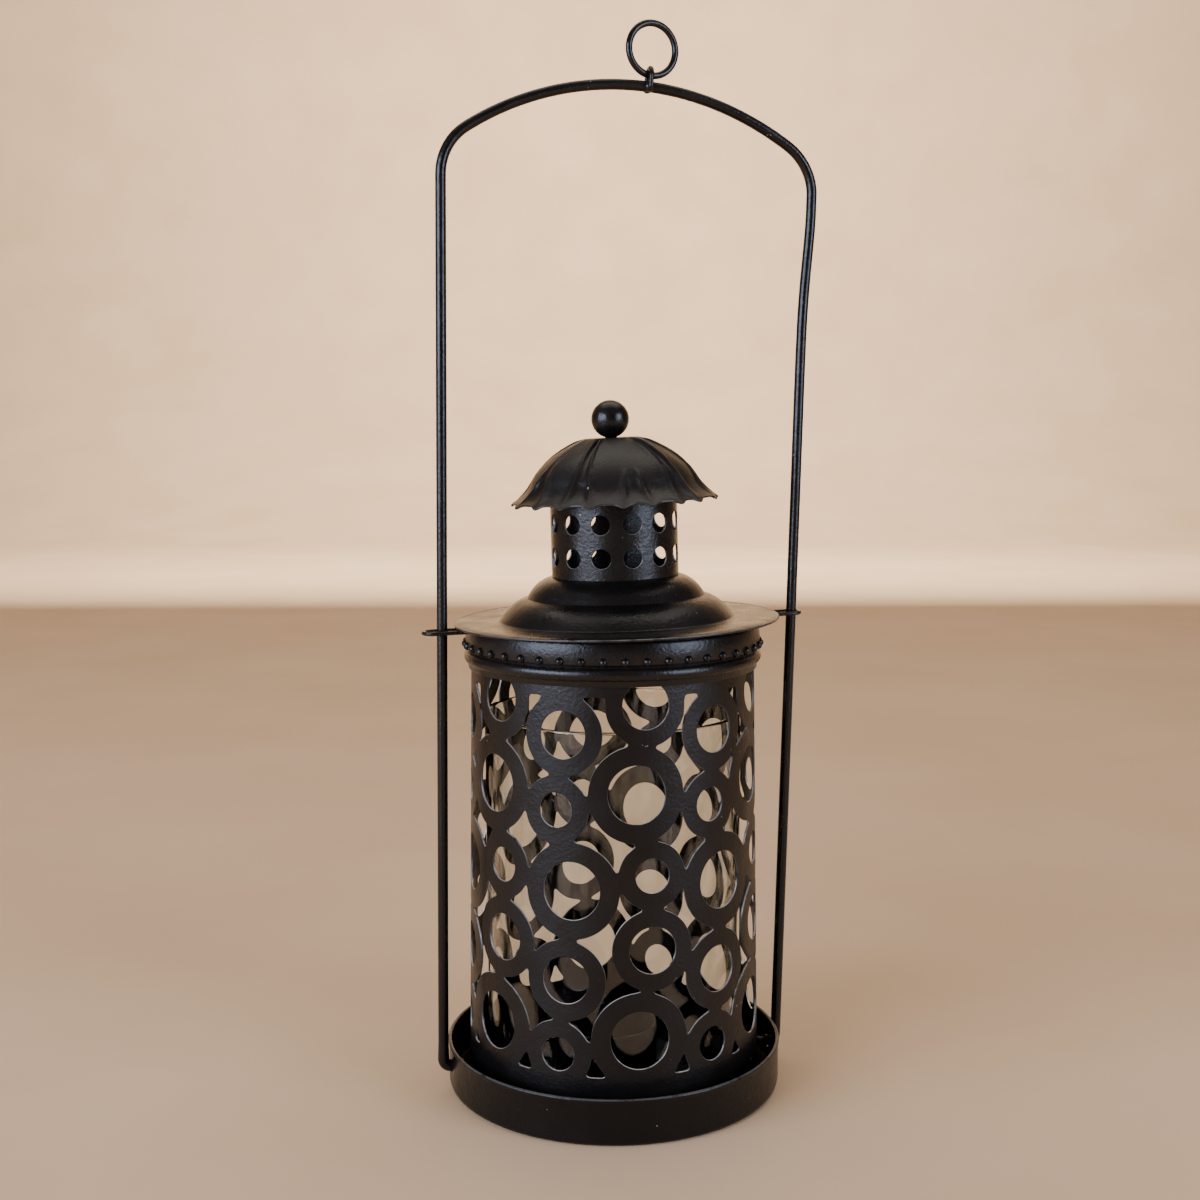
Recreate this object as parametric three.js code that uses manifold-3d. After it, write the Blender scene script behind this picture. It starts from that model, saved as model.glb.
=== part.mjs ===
// A candle lantern of black painted sheet metal, in millimetres, +Z up.
//
// A shallow tray carries a tall sheet cylinder pierced with touching rings, and a clear glass
// cylinder and a candle cup stand inside it. A round lid with a chimney, a fluted cap and a ball
// rests on top. A wire bail hooks into the tray wall and rises over the lid, which slides up its
// two legs on wire eyelets. A ring swings in a small staple on the crown of the bail.
//
// Origin: middle of the tray's underside. The bail lies in the XZ plane.

import * as THREE from "three";
import { mergeVertices } from "three/addons/utils/BufferGeometryUtils.js";
import Module from "manifold-3d";

const wasm = await Module();
wasm.setup();

// ---- Driving dimensions -------------------------------------------------------------------------

const SHEET = 0.8; // thickness of all the sheet metal
const GAP = 0.3; // clearance between pieces that touch
const ROUND = 48; // facets round the large turned pieces
const ROUND_SMALL = 24; // facets round the small turned pieces
const DRILL_LENGTH = 10; // long enough to pass through one wall
const FINEST_DETAIL = 0.02; // edges shorter than this are merged away in the cut pieces

const tray = { radius: 65.5, height: 18, corner: 2.5, lip: 1.5, lipBulge: 0.3 };

// The cage tapers a little towards the top.
const cage = { bottomRadius: 57, topRadius: 54.4, foot: SHEET + GAP, height: 179.6 };
cage.facets = 32;
cage.bottomStrip = 22.3; // top of the plain strip at the foot of the cage
cage.topStrip = 161.5; // where the plain strip at the top begins
cage.seamStrip = 7; // plain upright strip where the rolled sheet meets itself
cage.seamAngle = 159; // degrees round from +X, on the left towards the back
cage.seamGap = 0.3;

// Rings pierced in the cage: outer radius, hole radius and the sides of their outlines.
const RING_SIZES = {
  large: { outer: 17.8, hole: 10.7, sides: 12 },
  medium: { outer: 15, hole: 8.7, sides: 10 },
  small: { outer: 12.5, hole: 6.35, sides: 8 },
};

// The pattern repeats six times. Each ring: size, degrees round the cage, height above the tray's
// underside. Rings listed one after the other in a column touch.
const REPEATS = 6;
const REPEAT_ANGLE = 360 / REPEATS;
const PATTERN_START = -122.6; // degrees round from +X of the first column
const RING_COLUMNS = [
  [
    { size: "medium", angle: 0, height: 147.6 },
    { size: "small", angle: -2.6, height: 120.2 },
    { size: "large", angle: 3.3, height: 91 },
    { size: "medium", angle: 1.1, height: 57.8 },
    { size: "small", angle: -1.8, height: 30 },
  ],
  [
    { size: "medium", angle: 30.7, height: 158.4 },
    { size: "large", angle: 27.3, height: 126.3 },
    { size: "small", angle: 32.9, height: 96.6 },
    { size: "medium", angle: 33, height: 69.2 },
    { size: "large", angle: 28.2, height: 36 },
  ],
];
const RING_OVERLAP = 0.4; // how far a ring reaches into the rings it touches
// The columns stand a little further apart at the front and the back than at the sides.
const STRETCH = { size: 1.15, middle: -104 }; // degrees

const band = { bottom: 165.3, top: 181, thickness: 0.5, rimRadius: 56.3 };
band.innerRadius = 55.05;
band.rib = { height: 169.2, halfHeight: 2.4, bulge: 0.7 };
band.collar = { bottom: 172.2, radius: 56.4, swell: [57.2, 177.4], fillet: 0.4, innerFillet: 1 };
const beads = { count: 45, height: 173.9, radius: 1.3, ringRadius: 55.9, firstAngle: 4.6 };

const glass = { radius: 49.6, wall: 2, top: 147.8 };
const cup = { radius: 19.8, height: 23, shift: -3 };

// The lid sits a little askew: off the middle towards +X, and leaning towards -X.
const lid = { seat: 182.6, shift: 1.6, lean: 1.35, radius: 62.6 };
lid.lowerStep = { outer: 46, inner: 34.2, top: 9.6, swell: [40.5, 8] };
lid.upperStep = { inner: 24.6, top: 17.3, swell: [31, 15.8] };
lid.stepFillet = 0.4;
lid.opening = 22.4;
const skirt = { radius: 51, height: 7.5 };
const chimney = { radius: 24.4, base: GAP, top: 42.6 };
// The holes are punched in a flat strip. Rolled up, it leaves a plain stretch at the back.
chimney.holes = { perRow: 11, step: 28.3, radius: 3.7, firstAngle: 102.4, rows: [8.2, 20.8] };
const cap = { top: 52.6, flatRadius: 10.3, stemHole: 1.9, petals: 8 };
cap.crown = { radius: 31.5, height: 36.6, swell: [27.7, 45.8] };
cap.edge = { radius: 39.5, height: 28.9, swell: [33.4, 32.1] };
cap.flute = 0.9; // rise and fall of the cap's edge
cap.fluteSpread = 1 / 60; // how much wider the edge is for each millimetre that it rises
// The cap sits askew on the chimney: with its ball it leans further towards -X, about this height.
cap.tilt = { lean: 1.3, height: 38 };
const ball = { radius: 7.15, height: 60.05 };
const stem = { radius: 1.5, headRadius: 3.5, headThickness: 1.2 };

const eyelet = { wire: 1.6, halfWidth: 4.2, inner: 58.6, outer: 70.6 };

// The bail leans as a whole towards +X, so one of its feet is a little higher than the other.
const bail = { wire: 4, footX: 68.1, footHeight: 8.6, footReach: 7.7, legHeight: 338.7, lean: 1.14 };
bail.splay = 0.0085; // each leg spreads by this much for each millimetre of height
bail.shoulderRadius = 21;
bail.archRadius = 111;
// The +X leg is bent outwards a little, just under its shoulder.
bail.flare = { size: 2.2, height: 334, reach: 28 };
bail.flareStations = [0.74, 0.82, 0.88, 0.94]; // shares of the leg's height
bail.footBend = 3;
bail.footHole = 5;
const staple = { offset: 7.05, wire: 1.9, radius: 3.3, legHeight: 3.4 };
const hanger = { wire: 2.7, radius: 9.55, lift: 4.15, shift: 1.5, turn: 10 };

// ---- Materials ----------------------------------------------------------------------------------

function blackPaint(roughness) {
  return new THREE.MeshStandardMaterial({ color: 0x1b1a19, roughness, metalness: 0.2 });
}

function clearGlass() {
  return new THREE.MeshStandardMaterial({ color: 0xe6ece8, roughness: 0.05, metalness: 0 });
}

// ---- Tools for making solids --------------------------------------------------------------------

const radians = THREE.MathUtils.degToRad;

// The position-only, merged copy of a geometry, as a manifold solid.
function solid(geometry) {
  const bare = geometry.clone();
  bare.deleteAttribute("normal");
  bare.deleteAttribute("uv");
  const merged = mergeVertices(bare, 1e-4);
  return new wasm.Manifold(
    new wasm.Mesh({
      numProp: 3,
      vertProperties: new Float32Array(merged.attributes.position.array),
      triVerts: new Uint32Array(merged.index.array),
    }),
  );
}

function geometryOf(shape) {
  const mesh = shape.getMesh();
  const geometry = new THREE.BufferGeometry();
  geometry.setAttribute("position", new THREE.BufferAttribute(new Float32Array(mesh.vertProperties), 3));
  geometry.setIndex(new THREE.BufferAttribute(new Uint32Array(mesh.triVerts), 1));
  return geometry;
}

function join(geometries) {
  return geometries.map(solid).reduce((whole, piece) => whole.add(piece));
}

function cut(geometry, cutters) {
  return geometryOf(solid(geometry).subtract(join(cutters)));
}

// Turns an outline of [radius, height] points round +Z. The outline closes on itself, or starts
// and ends on the axis.
function turned(outline, facets = ROUND) {
  const points = outline.map(([radius, height]) => new THREE.Vector2(radius, height));
  const onAxis = points[0].x === 0;
  if (THREE.ShapeUtils.area(points) < 0) points.reverse();
  if (!onAxis) points.push(points[0].clone());
  return new THREE.LatheGeometry(points, facets).rotateX(Math.PI / 2);
}

// The outline of a sheet whose outer face follows the given points: the same points again, moved
// sideways by the thickness, to the right of the direction of travel.
function sheetOutline(points, thickness = SHEET) {
  const inner = points.map(([x, y], i) => {
    const [x0, y0] = points[Math.max(i - 1, 0)];
    const [x1, y1] = points[Math.min(i + 1, points.length - 1)];
    const length = Math.hypot(x1 - x0, y1 - y0);
    return [x + ((y1 - y0) / length) * thickness, y - ((x1 - x0) / length) * thickness];
  });
  return [...points, ...inner.reverse()];
}

function bend([x0, y0], [cx, cy], [x1, y1], pieces) {
  const curve = new THREE.QuadraticBezierCurve(
    new THREE.Vector2(x0, y0),
    new THREE.Vector2(cx, cy),
    new THREE.Vector2(x1, y1),
  );
  return curve.getPoints(pieces).map((p) => [p.x, p.y]);
}

// A path through given stations, with one section of the tube at each station.
class Stations extends THREE.Curve {
  constructor(points) {
    super();
    this.points = points;
  }

  getPoint(t) {
    const place = t * (this.points.length - 1);
    const i = Math.min(Math.floor(place), this.points.length - 2);
    return this.points[i].clone().lerp(this.points[i + 1], place - i);
  }

  getTangent(t) {
    const step = 0.5 / (this.points.length - 1);
    const before = this.getPoint(Math.max(t - step, 0));
    return this.getPoint(Math.min(t + step, 1)).sub(before).normalize();
  }

  getUtoTmapping(u) {
    return u;
  }
}

function wire(points, diameter, sides = 8) {
  const section = new THREE.Shape();
  for (let i = 0; i < sides; i += 1) {
    const angle = (i / sides) * 2 * Math.PI;
    const x = (diameter / 2) * Math.cos(angle);
    const y = (diameter / 2) * Math.sin(angle);
    if (i === 0) section.moveTo(x, y);
    else section.lineTo(x, y);
  }
  const path = new Stations(points);
  return new THREE.ExtrudeGeometry(section, { steps: points.length - 1, extrudePath: path });
}

// Points of an arc in the XZ plane, angles in degrees from +X towards +Z.
function arcPoints(cx, cz, radius, from, to, pieces) {
  return Array.from({ length: pieces + 1 }, (_, i) => {
    const angle = radians(from + ((to - from) * i) / pieces);
    return new THREE.Vector3(cx + radius * Math.cos(angle), 0, cz + radius * Math.sin(angle));
  });
}

function named(name, geometry, material) {
  const mesh = new THREE.Mesh(geometry, material);
  mesh.name = name;
  return mesh;
}

// ---- Base: tray, cage, band, glass and cup ------------------------------------------------------

// Where a foot of the bail passes through the tray wall: side is -1 or +1 along X.
function footPlace(side) {
  const lean = radians(bail.lean);
  return new THREE.Vector3(
    side * bail.footX * Math.cos(lean),
    0,
    bail.footHeight - side * bail.footX * Math.sin(lean),
  );
}

function makeTray() {
  const { radius, height, corner, lip, lipBulge } = tray;
  const wall = radius - lipBulge;
  const outline = [
    [0, 0],
    ...bend([wall - corner, 0], [wall, 0], [wall, corner], 3),
    [wall, height - lip],
    [radius, height - lip / 2],
    [wall, height],
    [wall - SHEET, height],
    [wall - SHEET, corner],
    [wall - corner, SHEET],
    [0, SHEET],
  ];
  const holes = [-1, 1].map((side) => {
    const bore = bail.footHole / 2;
    const drill = new THREE.CylinderGeometry(bore, bore, DRILL_LENGTH, 12);
    return drill.rotateZ(Math.PI / 2).translate(side * wall, 0, footPlace(side).z);
  });
  return cut(turned(outline), holes);
}

const CAGE_MIDDLE = (cage.bottomRadius + cage.topRadius) / 2;
const CUT_DEPTH = 14; // length of the tools that cut the cage, along its radius

// Moves a tool that points along X to its place in the cage wall.
function onCage(tool, angle, height) {
  return tool.translate(CAGE_MIDDLE, 0, height).rotateZ(radians(angle));
}

function radialDisc(ring, radius) {
  const { sides } = RING_SIZES[ring.size];
  const corner = radius / Math.cos(Math.PI / sides);
  const disc = new THREE.CylinderGeometry(corner, corner, CUT_DEPTH, sides);
  return onCage(disc.rotateZ(Math.PI / 2), ring.angle, ring.height);
}

// A level slab through the whole cage.
function slab(bottom, top) {
  const width = 3 * cage.bottomRadius;
  return new THREE.BoxGeometry(width, width, top - bottom).translate(0, 0, (bottom + top) / 2);
}

// An upright bar at the seam.
function seamBar(width) {
  const bar = new THREE.BoxGeometry(CUT_DEPTH, width, 3 * cage.height);
  return onCage(bar, cage.seamAngle, 0);
}

function placeRings() {
  const rings = [];
  for (let repeat = 0; repeat < REPEATS; repeat += 1) {
    for (const ring of RING_COLUMNS.flat()) {
      const even = PATTERN_START + ring.angle + repeat * REPEAT_ANGLE;
      const angle = even + STRETCH.size * Math.sin(2 * radians(even - STRETCH.middle));
      rings.push({ ...ring, angle });
    }
  }
  return rings;
}

// A tapered tube of sheet, of which only the rings, the strips at the foot and the top and the
// seam bar are left. The seam itself is a narrow open slit.
function makeCage() {
  const { bottomRadius, topRadius, foot, height } = cage;
  const shell = turned(
    [
      [bottomRadius - SHEET, foot],
      [bottomRadius, foot],
      [topRadius, foot + height],
      [topRadius - SHEET, foot + height],
    ],
    cage.facets,
  );
  const rings = placeRings();
  const discs = rings.map((ring) => radialDisc(ring, RING_SIZES[ring.size].outer + RING_OVERLAP));
  const holes = rings.map((ring) => radialDisc(ring, RING_SIZES[ring.size].hole));
  const strips = [slab(0, cage.bottomStrip), slab(cage.topStrip, 2 * cage.height)];
  const metal = join([...discs, ...strips])
    .subtract(join(holes))
    .add(solid(seamBar(cage.seamStrip)))
    .subtract(solid(seamBar(cage.seamGap)));
  return geometryOf(solid(shell).intersect(metal).asOriginal().simplify(FINEST_DETAIL));
}

// A thin band round the top of the cage: a rounded rib below, a flared collar above, and a row of
// raised beads between the two.
function makeBand() {
  const { bottom, top, thickness, innerRadius, rib, collar, rimRadius } = band;
  const plain = innerRadius + thickness;
  const neck = collar.bottom + collar.fillet;
  const outline = [
    [innerRadius, bottom],
    [plain, bottom],
    ...bend(
      [plain, rib.height - rib.halfHeight],
      [plain + 2 * rib.bulge, rib.height],
      [plain, rib.height + rib.halfHeight],
      3,
    ),
    [plain, collar.bottom],
    ...bend([collar.radius, neck], collar.swell, [rimRadius, top], 3),
    [rimRadius - thickness, top],
    [collar.radius - thickness, collar.bottom + collar.innerFillet],
    [innerRadius, neck],
  ];
  // Each bead stands in the middle of one facet of the band.
  const row = [];
  for (let i = 0; i < beads.count; i += 1) {
    const bead = new THREE.OctahedronGeometry(beads.radius, 0);
    const angle = ((i + 0.5) / beads.count) * 2 * Math.PI;
    row.push(bead.translate(beads.ringRadius, 0, beads.height).rotateZ(angle));
  }
  const beaded = solid(turned(outline, beads.count)).add(join(row));
  const halfPitch = 180 / beads.count;
  return geometryOf(beaded.asOriginal().simplify(FINEST_DETAIL)).rotateZ(
    radians(beads.firstAngle - halfPitch),
  );
}

function makeGlass() {
  const bottom = SHEET + GAP;
  const { radius, wall, top } = glass;
  return turned([
    [radius - wall, bottom],
    [radius, bottom],
    [radius, top],
    [radius - wall, top],
  ]);
}

function makeCup() {
  const floor = SHEET + GAP;
  const { radius, height } = cup;
  const outline = [
    [0, floor],
    [radius, floor],
    [radius, floor + height],
    [radius - SHEET, floor + height],
    [radius - SHEET, floor + SHEET],
    [0, floor + SHEET],
  ];
  return turned(outline, ROUND_SMALL);
}

// ---- Lid: plate, skirt, eyelets and the chimney with its cap ------------------------------------

// A flat rim that rises in two rounded steps to an opening. Height 0 is the rim's underside.
function makeLidPlate() {
  const { radius, lowerStep, upperStep, opening, stepFillet } = lid;
  const stepFoot = [lowerStep.inner + stepFillet, lowerStep.top - stepFillet / 2];
  const outer = [
    [opening, upperStep.top],
    ...bend(
      [upperStep.inner, upperStep.top],
      upperStep.swell,
      [lowerStep.inner, lowerStep.top],
      3,
    ),
    ...bend(stepFoot, lowerStep.swell, [lowerStep.outer, SHEET], 3),
    [radius, SHEET],
  ];
  return turned(sheetOutline(outer));
}

function makeSkirt() {
  const { radius, height } = skirt;
  return turned([
    [radius - SHEET, -height],
    [radius, -height],
    [radius, -GAP],
    [radius - SHEET, -GAP],
  ]);
}

// A hairpin of wire under the lid's rim, whose round end goes round one leg of the bail.
function makeEyelet(side) {
  const { halfWidth, inner, outer } = eyelet;
  const pieces = 8;
  const bow = Array.from({ length: pieces + 1 }, (_, i) => {
    const angle = radians(90 - (180 * i) / pieces);
    return new THREE.Vector3(
      outer + halfWidth * Math.cos(angle),
      halfWidth * Math.sin(angle),
      0,
    );
  });
  const points = [
    new THREE.Vector3(inner, halfWidth, 0),
    ...bow,
    new THREE.Vector3(inner, -halfWidth, 0),
  ];
  const hairpin = wire(points, eyelet.wire).translate(0, 0, -GAP - eyelet.wire / 2);
  return side > 0 ? hairpin : hairpin.rotateZ(Math.PI);
}

function makeChimney() {
  const { radius, base, top, holes } = chimney;
  const tube = turned(
    [
      [radius - SHEET, base],
      [radius, base],
      [radius, top],
      [radius - SHEET, top],
    ],
    ROUND_SMALL,
  );
  const drills = [];
  for (const height of holes.rows) {
    for (let i = 0; i < holes.perRow; i += 1) {
      const drill = new THREE.CylinderGeometry(holes.radius, holes.radius, DRILL_LENGTH, 8);
      drill.rotateZ(Math.PI / 2).translate(radius, 0, height);
      drills.push(drill.rotateZ(radians(holes.firstAngle + i * holes.step)));
    }
  }
  return geometryOf(solid(tube).subtract(join(drills)).asOriginal().simplify(FINEST_DETAIL));
}

// An umbrella of sheet with a flat crown and a flared, wavy edge.
function makeCap() {
  const { top, flatRadius, stemHole, petals, crown, edge } = cap;
  const outer = [
    [stemHole, top],
    ...bend([flatRadius, top], crown.swell, [crown.radius, crown.height], 4),
    ...bend([crown.radius, crown.height], edge.swell, [edge.radius, edge.height], 2).slice(1),
  ];
  const shell = turned(sheetOutline(outer), petals * 6);
  const position = shell.attributes.position;
  for (let i = 0; i < position.count; i += 1) {
    const x = position.getX(i);
    const y = position.getY(i);
    const reach = Math.hypot(x, y);
    const depth = Math.max(reach - flatRadius, 0) / (edge.radius - flatRadius);
    const wave = cap.flute * depth * Math.cos(petals * Math.atan2(y, x));
    const spread = 1 + wave * cap.fluteSpread;
    position.setXYZ(i, x * spread, y * spread, position.getZ(i) + wave);
  }
  return shell;
}

function makeBall() {
  return new THREE.SphereGeometry(ball.radius, 16, 10).rotateX(Math.PI / 2).translate(0, 0, ball.height);
}

// The rivet that holds the ball: its head lies under the cap.
function makeStem() {
  const headTop = cap.top - SHEET - GAP;
  const { radius, headRadius, headThickness } = stem;
  const outline = [
    [0, headTop - headThickness],
    [headRadius, headTop - headThickness],
    [headRadius, headTop],
    [radius, headTop],
    [radius, cap.top],
    [0, cap.top],
  ];
  return turned(outline, 10);
}

// ---- Bail: the wire, its staple and the hanging ring --------------------------------------------

// Half of the bail's path on the +X side, from the foot inside the tray to the middle of the arch,
// with the feet at height 0.
function halfBail() {
  const { footX, footBend, footReach, legHeight, splay, shoulderRadius, archRadius } = bail;
  const width = footX + legHeight * splay;
  const shoulderX = width - shoulderRadius;
  const fall = Math.sqrt((archRadius - shoulderRadius) ** 2 - shoulderX ** 2);
  const archCentre = legHeight - fall;
  const turn = THREE.MathUtils.radToDeg(Math.atan2(fall, shoulderX));
  const leg = bail.flareStations.map((share) => {
    const height = legHeight * share;
    return new THREE.Vector3(footX + height * splay, 0, height);
  });
  const points = [
    new THREE.Vector3(footX - footReach, 0, 0),
    ...arcPoints(footX - footBend, footBend, footBend, -90, 0, 4),
    ...leg,
    ...arcPoints(shoulderX, legHeight, shoulderRadius, 0, turn, 6),
    ...arcPoints(0, archCentre, archRadius, turn, 90, 7).slice(1),
  ];
  return { points, archCentre };
}

function flared(point) {
  const { size, height, reach } = bail.flare;
  point.x += size * Math.exp(-(((point.z - height) / reach) ** 2));
  return point;
}

function makeBail() {
  const right = halfBail().points;
  const left = right.slice(0, -1).map((p) => new THREE.Vector3(-p.x, 0, p.z));
  return wire([...right.map(flared), ...left.reverse()], bail.wire);
}

// A hoop of wire astride the bail, welded to its sides.
function makeStaple() {
  const { wire: diameter, radius, legHeight } = staple;
  const hoop = arcPoints(0, legHeight, radius, 0, 180, 8);
  const points = [new THREE.Vector3(radius, 0, 0), ...hoop, new THREE.Vector3(-radius, 0, 0)];
  return wire(points, diameter).rotateZ(Math.PI / 2);
}

function makeHanger() {
  const ring = new THREE.TorusGeometry(hanger.radius, hanger.wire / 2, 8, 28);
  return ring.rotateX(Math.PI / 2).translate(hanger.shift, 0, hanger.radius);
}

// ---- Assembly -----------------------------------------------------------------------------------

const lantern = new THREE.Group();
lantern.add(named("base_tray", makeTray(), blackPaint(0.45)));
lantern.add(named("pierced_cage", makeCage(), blackPaint(0.5)));
lantern.add(named("beaded_band", makeBand(), blackPaint(0.4)));
lantern.add(named("glass_cylinder", makeGlass(), clearGlass()));
const cupMesh = named("candle_cup", makeCup(), blackPaint(0.5));
cupMesh.position.x = cup.shift;
lantern.add(cupMesh);

const lidGroup = new THREE.Group();
lidGroup.position.set(lid.shift, 0, lid.seat);
lidGroup.rotation.y = -radians(lid.lean);
lidGroup.add(named("lid_plate", makeLidPlate(), blackPaint(0.4)));
lidGroup.add(named("lid_skirt", makeSkirt(), blackPaint(0.5)));
lidGroup.add(named("eyelet_left", makeEyelet(-1), blackPaint(0.45)));
lidGroup.add(named("eyelet_right", makeEyelet(1), blackPaint(0.45)));

const stack = new THREE.Group();
stack.position.z = lid.upperStep.top;
stack.add(named("chimney", makeChimney(), blackPaint(0.4)));
const crown = new THREE.Group();
crown.position.z = cap.tilt.height;
crown.rotation.y = -radians(cap.tilt.lean);
const crownPieces = [
  named("flower_cap", makeCap(), blackPaint(0.4)),
  named("finial_stem", makeStem(), blackPaint(0.5)),
  named("finial_ball", makeBall(), blackPaint(0.35)),
];
for (const piece of crownPieces) {
  piece.position.z = -cap.tilt.height;
  crown.add(piece);
}
stack.add(crown);
lidGroup.add(stack);
lantern.add(lidGroup);

const bailGroup = new THREE.Group();
bailGroup.position.z = bail.footHeight;
bailGroup.rotation.y = radians(bail.lean);
bailGroup.add(named("bail_wire", makeBail(), blackPaint(0.35)));

// The staple stands square to the arch, and the ring hangs level with the world.
const { archCentre } = halfBail();
const stapleTilt = Math.asin(staple.offset / bail.archRadius);
const crownHeight = archCentre + bail.archRadius * Math.cos(stapleTilt);
const stapleMesh = named("ring_eye", makeStaple(), blackPaint(0.35));
stapleMesh.position.set(staple.offset, 0, crownHeight);
stapleMesh.rotation.y = stapleTilt;
bailGroup.add(stapleMesh);
lantern.add(bailGroup);

const seat = new THREE.Vector3(staple.offset, 0, crownHeight);
seat.applyAxisAngle(new THREE.Vector3(0, 1, 0), radians(bail.lean));
const hangerMesh = named("hanging_ring", makeHanger(), blackPaint(0.35));
hangerMesh.position.set(seat.x, 0, seat.z + bail.footHeight + hanger.lift);
hangerMesh.rotation.z = radians(hanger.turn);
lantern.add(hangerMesh);

export default lantern;
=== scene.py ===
"""The looks of a black painted sheet-metal candle lantern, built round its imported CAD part.

Shapes are worked out in millimetres in the lantern's own frame and stored in metres.
"""

import math

import bpy
import numpy as np
from mathutils import Matrix, Vector, geometry


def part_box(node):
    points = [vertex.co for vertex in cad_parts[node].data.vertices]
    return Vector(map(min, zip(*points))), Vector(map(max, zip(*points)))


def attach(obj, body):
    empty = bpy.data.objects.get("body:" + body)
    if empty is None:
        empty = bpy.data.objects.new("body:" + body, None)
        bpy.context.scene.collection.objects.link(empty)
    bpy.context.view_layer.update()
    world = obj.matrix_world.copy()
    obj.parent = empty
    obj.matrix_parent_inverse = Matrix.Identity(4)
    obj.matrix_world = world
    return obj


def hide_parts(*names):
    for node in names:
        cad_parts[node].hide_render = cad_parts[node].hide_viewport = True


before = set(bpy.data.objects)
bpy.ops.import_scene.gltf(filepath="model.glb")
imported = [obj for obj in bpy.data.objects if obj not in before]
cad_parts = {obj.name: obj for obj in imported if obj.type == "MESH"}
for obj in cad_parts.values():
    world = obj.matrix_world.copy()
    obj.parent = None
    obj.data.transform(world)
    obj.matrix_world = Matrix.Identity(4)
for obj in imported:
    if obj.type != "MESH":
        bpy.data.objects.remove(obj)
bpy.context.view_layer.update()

MM = 0.001


def box_mm(node):
    """Lowest and highest corner of a CAD node, in millimetres."""
    low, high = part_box(node)
    return [v / MM for v in low], [v / MM for v in high]


# ---- Sizes ----------------------------------------------------------------------------------

SHEET = 0.8  # thickness of the sheet metal
_, tray_high = box_mm("base_tray")
cage_low, cage_high = box_mm("pierced_cage")
glass_low, glass_high = box_mm("glass_cylinder")
cup_low, cup_high = box_mm("candle_cup")

TRAY_RADIUS = tray_high[0] - 0.05
TRAY_HEIGHT = tray_high[2]
TRAY_WALL = TRAY_RADIUS - 0.35  # the wall's outer face, a little inside its rolled lip
TRAY_LIP = 0.75  # radius of the rolled lip
TRAY_HOLE = 2.6  # radius of the holes for the bail's feet

CAGE_FOOT = cage_low[2]
CAGE_TOP = cage_high[2]
CAGE_FOOT_RADIUS = cage_high[0]
CAGE_TOP_RADIUS = CAGE_FOOT_RADIUS - 2.6
CAGE_MEAN_RADIUS = (CAGE_FOOT_RADIUS + CAGE_TOP_RADIUS) / 2
STRIP_BOTTOM = 22.3  # top of the plain strip at the cage's foot
STRIP_TOP = 161.5  # where the plain strip at its top begins
SEAM_ANGLE = 159  # degrees round from +X
SEAM_STRIP = 7
SEAM_GAP = 0.02  # between the two edges of a rolled sheet
FILLET = 2.2  # how softly rings run into each other where they touch
FAR = 1e3  # further than any distance on a flat sheet

# Rings of the cage: (size, degrees round, height); each column repeats six times.
RING_OUTER = {"large": 17.8, "medium": 15, "small": 12.5}
RING_HOLE = {"large": 10.7, "medium": 8.7, "small": 6.35}
PATTERN_START = -122.6
REPEATS = 6
RINGS = [
    ("medium", 0, 147.6),
    ("small", -2.6, 120.2),
    ("large", 3.3, 91),
    ("medium", 1.1, 57.8),
    ("small", -1.8, 30),
    ("medium", 30.7, 158.4),
    ("large", 27.3, 126.3),
    ("small", 32.9, 96.6),
    ("medium", 33, 69.2),
    ("large", 28.2, 36),
]
# The columns stand a little further apart at the front and the back than at the sides.
STRETCH_SIZE = 1.15  # degrees
STRETCH_MIDDLE = -104

BAND_RADIUS = 55.65
BAND_FOOT = 165.4
BAND_SHEET = 0.55
RIB_HEIGHT = 169.6
BEAD_COUNT = 45
BEAD_RADIUS = 1.6
BEAD_RISE = 1.7
BEAD_HEIGHT = 174.3
BEAD_FIRST = 4.6  # degrees round to the first bead
BEAD_TILT = 4  # degrees that the beads look down, as the band does there

GLASS_WALL = 2

# The lid's frame: height 0 is the underside of its rim. It leans a little towards -X.
LID_SEAT = 182.6
LID_SHIFT = 1.6
LID_LEAN = 1.35
LID_PLACE = (
    Matrix.Translation((LID_SHIFT, 0, LID_SEAT)) @ Matrix.Rotation(-math.radians(LID_LEAN), 4, "Y")
)
STACK_BASE = 17.3  # top of the lid's dome, where the chimney stands
STACK_PLACE = LID_PLACE @ Matrix.Translation((0, 0, STACK_BASE))
HEM_RADIUS = 62
SKIRT_RADIUS = 51
SKIRT_BOTTOM = -7.5
SKIRT_TOP = -0.3

EYELET_HALF = 4.2  # half the width of the hairpin
EYELET_INNER = 57.6
EYELET_OUTER = 70.6
EYELET_DROP = 1.1  # below the underside of the rim
EYELET_WIRE = 0.8

CHIMNEY_RADIUS = 24.4
CHIMNEY_TOP = 43
CHIMNEY_HOLE = 3.7
CHIMNEY_ROWS = (8.2, 20.8)
CHIMNEY_HOLES = 11
CHIMNEY_FIRST = 102.4  # degrees round to the first hole past the seam
CHIMNEY_STEP = 28.3

CAP_TOP = 52.6
CAP_FLAT = 10.3  # radius of the flat crown
CAP_BULGE = (27.7, 45.8)
CAP_SHOULDER = (31.5, 36.6)
CAP_SWELL = (33.4, 32.1)
CAP_EDGE = 39.5
CAP_EDGE_HEIGHT = 28.9
# The cap's folds are pairs of ridges: middle of the pair in degrees round from +X, degrees from
# there to each ridge at the edge, and how crisp the ridges are on the crown.
CAP_FOLDS = [
    (-161, 10, 0.25),
    (-125.3, 8.3, 1),
    (-91, 8, 0),
    (-58, 7.5, 1.1),
    (-20, 8.5, 0.8),
    (20, 9, 0.5),
    (62, 8, 0.9),
    (104, 9, 0.6),
    (150, 8.5, 0.8),
]
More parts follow.
